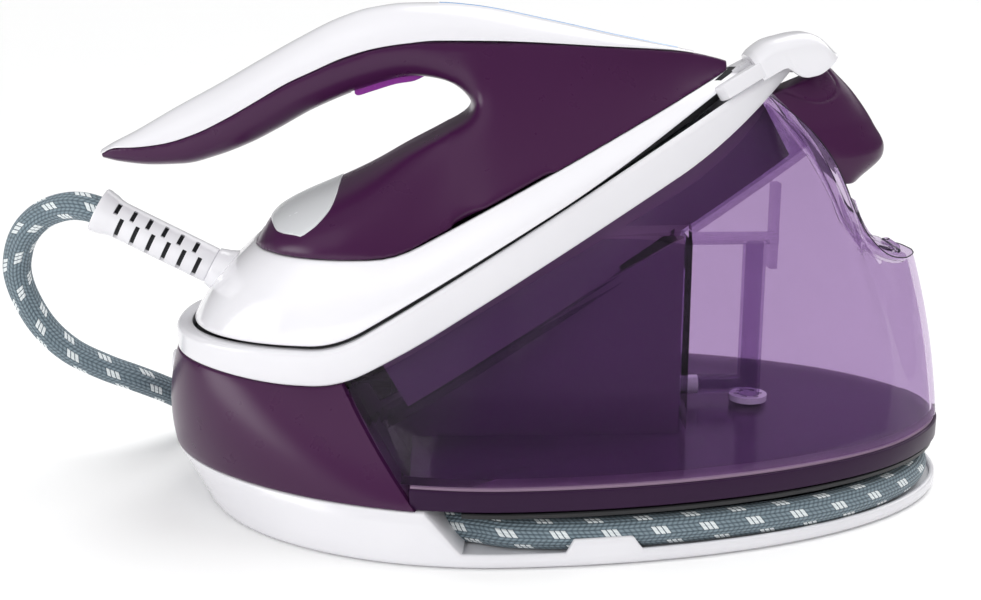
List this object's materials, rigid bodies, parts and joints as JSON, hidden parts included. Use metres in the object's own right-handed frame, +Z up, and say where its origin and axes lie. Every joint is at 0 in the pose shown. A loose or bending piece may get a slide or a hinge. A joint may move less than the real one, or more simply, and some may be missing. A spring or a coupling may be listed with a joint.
{
  "type": "steam generator iron",
  "caption": "Steam generator iron: domed iron resting on a sloped base with a translucent slide-off tank and a braided hose stored round the foot.",
  "frame": {"origin": "on the ground, under the middle of the base's length and width", "axes": "+Z up, +X towards the tank end, -X towards the heel and the hose, +Y to the far side; the base and iron are symmetric about Y = 0"},
  "size_m": [0.444, 0.217, 0.2228],
  "materials": {
    "white_plastic": "gloss",
    "purple_plastic": "high gloss, translucent dark purple over opaque",
    "dark_plastic": "gloss",
    "black_plastic": "satin",
    "black_rubber": "matte",
    "clear_tank": "clear tinted moulding",
    "plate_steel": "brushed",
    "soleplate_steel": "polished",
    "cast_aluminium": "as cast",
    "brass": "satin",
    "pump_body": "satin",
    "tubing": "silicone",
    "board": "solder mask",
    "magenta_plastic": "gloss",
    "blue_accent": "gloss",
    "hose_braid": "braided textile with pale flecks"
  },
  "bodies": {
    "base": {"base_tray": "white_plastic", "rubber_feet": "black_rubber", "hose_channel": "black_plastic", "lower_housing": "purple_plastic", "inner_housing": "dark_plastic", "rest_band": "white_plastic", "rest_plate": "plate_steel", "rest_pads": "black_rubber", "boiler": "plate_steel", "boiler_heater": "brass", "boiler_thermostat": "white_plastic", "steam_valve": "brass", "pump": "pump_body", "pump_mounts": "black_rubber", "suction_tube": "tubing", "pressure_tube": "tubing", "steam_tube": "tubing", "circuit_board": "board", "tank_coupling": "white_plastic", "power_gland": "black_plastic", "hose_socket": "black_plastic", "control_panel": "black_plastic", "base_screws": "plate_steel", "hose_wrap": "hose_braid"},
    "tank": {"water_tank": "clear_tank", "tank_foot": "dark_plastic", "tank_cap": "purple_plastic", "lid_pin": "plate_steel", "tank_valve": "white_plastic", "valve_seal": "black_rubber", "intake_pipe": "clear_tank", "intake_filter": "white_plastic"},
    "lid": {"filler_lid": "clear_tank"},
    "iron": {"soleplate": "soleplate_steel", "steam_chamber": "cast_aluminium", "iron_thermostat": "white_plastic", "iron_skirt": "white_plastic", "iron_shell": "purple_plastic", "handle_cover": "white_plastic", "handle_strip": "blue_accent", "heel_badge": "white_plastic", "trigger_pin": "plate_steel", "micro_switch": "black_plastic", "inlet_tube": "tubing", "iron_screws": "plate_steel", "hose_relief": "white_plastic", "hose_loop": "hose_braid"},
    "trigger": {"steam_trigger": "magenta_plastic"},
    "lock": {"carry_lock": "white_plastic", "lock_tongue": "white_plastic"},
    "power": {"power_button": "white_plastic"},
    "eco": {"eco_button": "white_plastic"},
    "knob": {"decalc_knob": "black_plastic"}
  },
  "joints": [
    {"name": "iron_lift", "type": "slide", "parent": "base", "child": "iron", "axis": [-0.4924, 0, 0.8704], "range_m": [0, 0.11]},
    {"name": "tank_slide", "type": "slide", "parent": "base", "child": "tank", "axis": [1, 0, 0], "range_m": [0, 0.18]},
    {"name": "lid_hinge", "type": "hinge", "parent": "tank", "child": "lid", "pos_m": [0.156, 0, 0.111], "axis": [0, 1, 0], "range_deg": [0, 95]},
    {"name": "trigger_press", "type": "hinge", "parent": "iron", "child": "trigger", "pos_m": [-0.06, 0, 0.196], "axis": [0, 1, 0], "range_deg": [0, 5], "stiffness_Nm_per_rad": 0.3, "springref_deg": -5.73},
    {"name": "lock_slide", "type": "slide", "parent": "base", "child": "lock", "axis": [0.8704, 0, 0.4924], "range_m": [0, 0.009]},
    {"name": "power_press", "type": "slide", "parent": "base", "child": "power", "axis": [1, 0, 0], "range_m": [0, 0.0015], "stiffness_N_per_m": 250},
    {"name": "eco_press", "type": "slide", "parent": "base", "child": "eco", "axis": [1, 0, 0], "range_m": [0, 0.0015], "stiffness_N_per_m": 250},
    {"name": "knob_turn", "type": "hinge", "parent": "base", "child": "knob", "pos_m": [-0.143, 0.062, 0.046], "axis": [-0.5299, 0.848, 0], "range_deg": [0, 90]}
  ]
}
